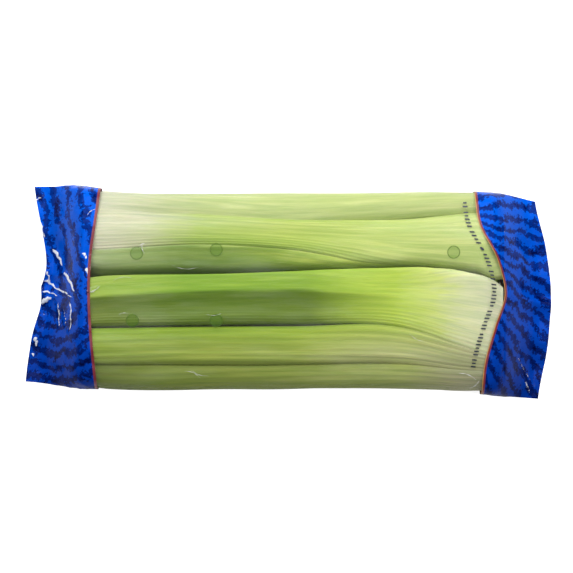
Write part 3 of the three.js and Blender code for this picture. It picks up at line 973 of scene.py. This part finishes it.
def printed_film_material(name, group):
    """Bright blue print with ragged navy ripples along the bands marked on the film."""
    made, nodes, links, shader = new_material(name)
    place = place_on(nodes, links)
    bend = noise_at(nodes, links, place, Scale=75.0, Detail=2.0)
    fray = noise_at(nodes, links, place, Scale=430.0, Detail=3.0, Roughness=0.75)
    phase = maths(nodes, links, "MULTIPLY_ADD", bend, 1.5, attribute(nodes, "ripple"))
    phase = maths(nodes, links, "MULTIPLY_ADD", fray, 1.35, phase)
    wave = maths(nodes, links, "SINE", maths(nodes, links, "MULTIPLY", phase, 2 * math.pi))
    patches = noise_at(nodes, links, place, Scale=110.0, Detail=3.0)
    ink = maths(nodes, links, "MULTIPLY_ADD", patches, 3.0, maths(nodes, links, "SUBTRACT", wave, 1.5))
    speckle = noise_at(nodes, links, place, Scale=900.0, Detail=2.0)
    ink = maths(nodes, links, "MULTIPLY_ADD", speckle, 0.9,
                maths(nodes, links, "SUBTRACT", ink, 0.45))
    print_colour = ramp(nodes, links, maths(nodes, links, "MULTIPLY_ADD", ink, 0.25, 0.5),
                        [(0.47, (0.0, 0.090, 0.65)), (0.53, (0.0, 0.040, 0.36)), (0.57, (0.0, 0.004, 0.06)),
                         (0.64, (0.0, 0.022, 0.22)), (0.72, (0.0, 0.028, 0.26)), (0.82, (0.0, 0.004, 0.07))])
    # Darker towards the pack's lower side and slightly brighter at its upper side: partly darker print,
    # partly painted shade and painted light.
    apart = nodes.new("ShaderNodeSeparateXYZ")
    links.new(place, apart.inputs[0])
    print_and_painted_shade = ramp(nodes, links, maths(nodes, links, "MULTIPLY_ADD", apart.outputs[1], 8.0, 0.5),
                  [(0.05, (0.5, 0.38, 0.48)), (0.5, (0.85, 0.8, 0.86)), (0.9, (1.05, 1.15, 1.08))])
    shaded = mixed(nodes, links, 1.0, print_colour, print_and_painted_shade, "MULTIPLY")
    # White painted glints along the crests of the pinched folds.
    links.new(mixed(nodes, links, painted_glints(nodes, links), shaded, (0.85, 0.88, 0.95)),
              shader.inputs["Base Color"])
    shader.inputs["Roughness"].default_value = 0.15
    shader.inputs["Specular IOR Level"].default_value = 0.04
    crinkled(nodes, links, shader, group, 95.0, 0.25, 0.0006)
    return made


def ink_material(name, colour, group, alpha=1.0):
    made, nodes, links, shader = new_material(name)
    blot = add_node(nodes, "ShaderNodeTexNoise", Scale=300.0, Detail=3.0)
    dark = tuple(c * 0.75 for c in colour)
    links.new(ramp(nodes, links, blot.outputs[0], [(0.35, dark), (0.65, colour)]),
              shader.inputs["Base Color"])
    shader.inputs["Roughness"].default_value = 0.3
    shader.inputs["Alpha"].default_value = alpha
    crinkled(nodes, links, shader, group, 90.0, 0.3, 0.0006)
    return made


# ---------------------------------------------------------------- put together

CREAM = (0.70, 0.68, 0.50)
STALK_COLOURS = {
    "heart_a_stalk_front": [
        (0.0, CREAM), (0.14, (0.66, 0.66, 0.42)), (0.28, (0.54, 0.64, 0.19)),
        (0.5, (0.53, 0.64, 0.14)), (0.75, (0.57, 0.67, 0.19)), (1.0, (0.6, 0.67, 0.26)),
    ],
    "heart_a_stalk_side": [
        (0.0, (0.68, 0.66, 0.52)), (0.14, (0.66, 0.67, 0.44)), (0.3, (0.6, 0.66, 0.3)),
        (0.6, (0.6, 0.67, 0.26)), (1.0, (0.62, 0.67, 0.3)),
    ],
    # Heart A's deep stalk: the dark olive band from 0.25 to 0.45 along it is partly its own deeper green and
    # partly painted shade, where it lies in the trough under the stalks in front.
    "heart_a_stalk_deep": [
        (0.0, (0.52, 0.58, 0.26)), (0.08, (0.42, 0.52, 0.17)), (0.25, (0.22, 0.33, 0.05)),
        (0.45, (0.28, 0.4, 0.05)), (0.6, (0.52, 0.64, 0.11)), (1.0, (0.5, 0.62, 0.13)),
    ],
    "heart_b_stalk_front": [
        (0.0, (0.74, 0.73, 0.52)), (0.1, (0.74, 0.76, 0.42)), (0.17, (0.66, 0.75, 0.22)),
        (0.26, (0.55, 0.7, 0.09)), (0.37, (0.46, 0.64, 0.07)), (0.47, (0.3, 0.48, 0.04)),
        (0.75, (0.28, 0.47, 0.04)), (1.0, (0.38, 0.52, 0.08)),
    ],
    "heart_b_stalk_middle": [
        (0.0, (0.48, 0.46, 0.28)), (0.1, (0.47, 0.47, 0.24)), (0.24, (0.5, 0.56, 0.17)),
        (0.5, (0.33, 0.44, 0.06)), (0.75, (0.29, 0.4, 0.045)), (1.0, (0.3, 0.42, 0.05)),
    ],
    "heart_b_stalk_side": [
        (0.0, (0.5, 0.47, 0.32)), (0.12, (0.5, 0.48, 0.27)), (0.25, (0.42, 0.48, 0.13)),
        (0.5, (0.36, 0.43, 0.09)), (0.8, (0.28, 0.35, 0.055)), (1.0, (0.17, 0.22, 0.03)),
    ],
}
PLAIN_STALK = [
    (0.0, CREAM), (0.16, (0.62, 0.64, 0.36)), (0.35, (0.44, 0.58, 0.12)),
    (1.0, (0.33, 0.48, 0.07)),
]
# Painted shade across a plain stalk, from its low edge to its high edge: darker towards both edges.
PLAIN_PAINTED_SHADE = {
    "from": 0.0, "full": 0.2,
    "stops": [
        (0.0, (0.72, 0.76, 0.6)), (0.25, (0.94, 0.96, 0.9)), (0.8, (1, 1, 1)),
        (1, (0.9, 0.95, 0.8)),
    ],
}
# Painted light and shade across the stalks that show: darker under the ridge of heart B's front stalk and
# along low edges, with a painted highlight along the upper rim of heart A's deep stalk.
STALK_PAINTED_LIGHT_AND_SHADE = {
    "heart_a_stalk_front": {
        "from": 0.08, "full": 0.25, "held": 0.4, "gone": 0.62,
        "stops": [
            (0.0, (0.5, 0.6, 0.35)), (0.22, (0.78, 0.88, 0.6)), (0.5, (0.98, 1, 0.9)),
            (0.8, (1.0, 0.98, 1.2)), (1.0, (0.9, 0.95, 0.9)),
        ],
    },
    "heart_a_stalk_deep": {
        "from": 0.0, "full": 0.05, "held": 0.35, "gone": 0.6,
        "stops": [
            (0.0, (1.1, 1.1, 0.9)), (0.3, (0.95, 0.98, 0.9)), (0.75, (0.85, 0.85, 1.0)),
            (0.88, (0.9, 0.9, 1.0)), (0.93, (1.7, 1.5, 2.6)), (1.0, (1.5, 1.3, 2.0)),
        ],
    },
    "heart_b_stalk_front": {
        "from": 0.24, "full": 0.46,
        "stops": [
            (0.0, (0.42, 0.4, 0.3)), (0.3, (0.56, 0.52, 0.62)), (0.5, (0.46, 0.46, 0.3)),
            (0.62, (0.45, 0.47, 0.28)), (0.665, (1, 1, 1)), (1.0, (1.1, 1.04, 1.3)),
        ],
    },
    "heart_b_stalk_middle": {
        "from": 0.1, "full": 0.3,
        "stops": [
            (0.0, (0.8, 0.72, 0.9)), (0.3, (1.35, 1.2, 1.9)), (0.6, (1.1, 1.05, 1.1)),
            (0.85, (0.9, 0.95, 0.55)), (1.0, (0.8, 0.9, 0.45)),
        ],
    },
    "heart_b_stalk_side": {
        "from": 0.1, "full": 0.3,
        "stops": [
            (0.0, (0.5, 0.5, 0.4)), (0.5, (0.7, 0.72, 0.6)), (0.8, (1, 1, 1)),
            (1.0, (0.8, 0.8, 0.75)),
        ],
    },
}


def build_celery(strings):
    """Fine stalks and butts, and a surface of them all for the film to lie on."""
    solids = []
    cut = butt_material()
    for heart_name, heart in HEARTS.items():
        for k in range(len(heart["stalks"])):
            name, made, points, faces = stalk(heart_name, k)
            skin = stalk_material(f"skin_{name}", STALK_COLOURS.get(name, PLAIN_STALK),
                                  STALK_PAINTED_LIGHT_AND_SHADE.get(name, PLAIN_PAINTED_SHADE), k * 2.3, strings)
            place_piece(made, skin, "celery_stalk", name)
            solids.append((points, faces))
        made, points, faces = butt(heart_name)
        place_piece(made, cut, "celery_butt", f"{heart_name}_butt")
        solids.append((points, faces))
    points, faces = join(solids)
    return BVHTree.FromPolygons([Vector(p) for p in points], faces)


def place_piece(made, material, slot_name, *nodes):
    made.data.materials.append(material)
    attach(made, "root")
    if nodes:
        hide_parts(*nodes)


def build_film_zones(sinks, crinkle):
    """The clear sleeve, the stripes and the printed ends, cut from one film."""
    half = STRIPE_WIDTH / 2
    clear = clear_film_material(crinkle)
    red = ink_material("red_stripe", (0.22, 0.018, 0.030), crinkle)
    orange = ink_material("orange_edge", (0.66, 0.30, 0.07), crinkle)
    blue = printed_film_material("blue_print", crinkle)
    left_in = shifted(left_stripe, half)
    left_out = shifted(left_stripe, -half)
    right_in = shifted(right_stripe, -half)
    right_edge = shifted(right_stripe, -half + ORANGE_WIDTH)
    right_out = shifted(right_stripe, half)
    zones = [
        ("film_clear", left_in, right_in, 285, clear, "clear_film", "clear_sleeve"),
        ("film_stripe_left", left_out, left_in, 4, red, "stripe_print", "stripe_left"),
        ("film_stripe_edge", right_in, right_edge, 3, orange, "stripe_print", "stripe_right"),
        ("film_stripe_right", right_edge, right_out, 4, red, "stripe_print", "stripe_right"),
        ("film_end_left", left_out, left_cut, 100, blue, "printed_film", "printed_end_left"),
        ("film_end_right", right_out, right_cut, 100, blue, "printed_film", "printed_end_right"),
    ]
    ripples = {"film_end_left": ripple_left, "film_end_right": ripple_right}
    for name, start, stop, count, material, slot_name, node in zones:
        made = film_object(name, between(start, stop, count), sinks, ripples.get(name))
        place_piece(made, material, slot_name, node)


def build_film_marks(sinks, crinkle):
    """The vents' rims and punched discs in painted shade, the slivers of painted glint and the printed
    ticks.
    """
    # See-through dark green on the vents' rims and discs: painted shade, as if each hole's edge shaded the
    # celery inside it.
    rim = ink_material("vent_painted_shade", (0.10, 0.26, 0.012), crinkle, 0.28)
    # White film for the painted glint slivers.
    white = ink_material("painted_glint_film", (0.92, 0.92, 0.88), crinkle, 0.75)
    navy = ink_material("navy_marks", (0.02, 0.028, 0.05), crinkle)
    place_piece(vent_flaps(sinks), rim, "clear_film")
    place_piece(painted_glint_slivers(sinks), white, "clear_film")
    place_piece(vent_rims(sinks), rim, "clear_film")
    place_piece(print_marks(sinks), navy, "printed_film")


def dress_inner_stalks():
    """The CAD's own inner stalks and cores, seen only through the cut ends."""
    material, nodes, links, shader = new_material("inner_flesh")
    grain = noise_at(nodes, links, place_on(nodes, links, (0.06, 1, 1)), Scale=350.0, Detail=4.0)
    flesh = ramp(nodes, links, grain, [(0.35, (0.62, 0.66, 0.30)), (0.65, (0.78, 0.80, 0.50))])
    links.new(flesh, shader.inputs["Base Color"])
    shader.inputs["Roughness"].default_value = 0.5
    for name in sorted(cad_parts):
        if "inner_stalk" in name or name.endswith("_core"):
            node = bpy.data.objects[name]
            node.data.materials.clear()
            node.data.materials.append(material)


def light(name, place, aim, size, watts):
    data = bpy.data.lights.new(name, "AREA")
    data.shape = "RECTANGLE"
    data.size, data.size_y = size
    data.energy = watts
    made = bpy.data.objects.new(name, data)
    made.location = place
    made.rotation_mode = "QUATERNION"
    made.rotation_quaternion = (Vector(aim) - Vector(place)).to_track_quat("-Z", "Y")
    bpy.context.collection.objects.link(made)
    return made


def build_studio():
    floor = mesh_object("floor", [(-3000, -3000, -0.4), (3000, -3000, -0.4), (3000, 3000, -0.4),
                                  (-3000, 3000, -0.4)], [(0, 1, 2, 3)])
    material, nodes, links, shader = new_material("floor_paper")
    shader.inputs["Base Color"].default_value = (0.86, 0.86, 0.86, 1)
    shader.inputs["Roughness"].default_value = 0.9
    seen = nodes.new("ShaderNodeLightPath").outputs["Is Camera Ray"]
    links.new(mixed(nodes, links, seen, (0, 0, 0), (1, 1, 1)), shader.inputs["Emission Color"])
    shader.inputs["Emission Strength"].default_value = 0.9
    floor.data.materials.append(material)
    light("key", (0.0, 1.3, 1.15), (0, 0, 0.02), (2.6, 1.4), 33)
    light("overhead", (0.0, 0.1, 1.5), (0, 0, 0), (1.2, 1.2), 5.5)
    light("glint_back", (-0.35, 0.65, 0.8), (-0.1, 0, 0.03), (0.03, 0.03), 0.9)
    light("glint_right", (0.55, 0.3, 0.8), (0, 0, 0.03), (0.03, 0.03), 0.9)
    world = bpy.data.worlds.new("studio")
    world.use_nodes = True
    world.node_tree.nodes["Background"].inputs[0].default_value = (1, 1, 1, 1)
    world.node_tree.nodes["Background"].inputs[1].default_value = 0.3
    bpy.context.scene.world = world
    bpy.context.scene.view_settings.view_transform = "Standard"


CAMERA_HEIGHT = 2.6
VIEW_WIDTH = 0.3438
VIEW_CENTRE = (-0.0009, 0.00375)


def build_camera():
    """Straight above the pack, with a long lens."""
    data = bpy.data.cameras.new("camera")
    data.sensor_width = 36
    data.lens = data.sensor_width * (CAMERA_HEIGHT - BODY_MIDDLE * MM) / VIEW_WIDTH
    camera = bpy.data.objects.new("camera", data)
    camera.location = (*VIEW_CENTRE, CAMERA_HEIGHT)
    bpy.context.collection.objects.link(camera)
    bpy.context.scene.camera = camera


build_camera()
strings = string_group()
crinkle = crinkle_group()
celery = build_celery(strings)
sinks = film_sinks(celery)
build_film_zones(sinks, crinkle)
build_film_marks(sinks, crinkle)
dress_inner_stalks()
build_studio()
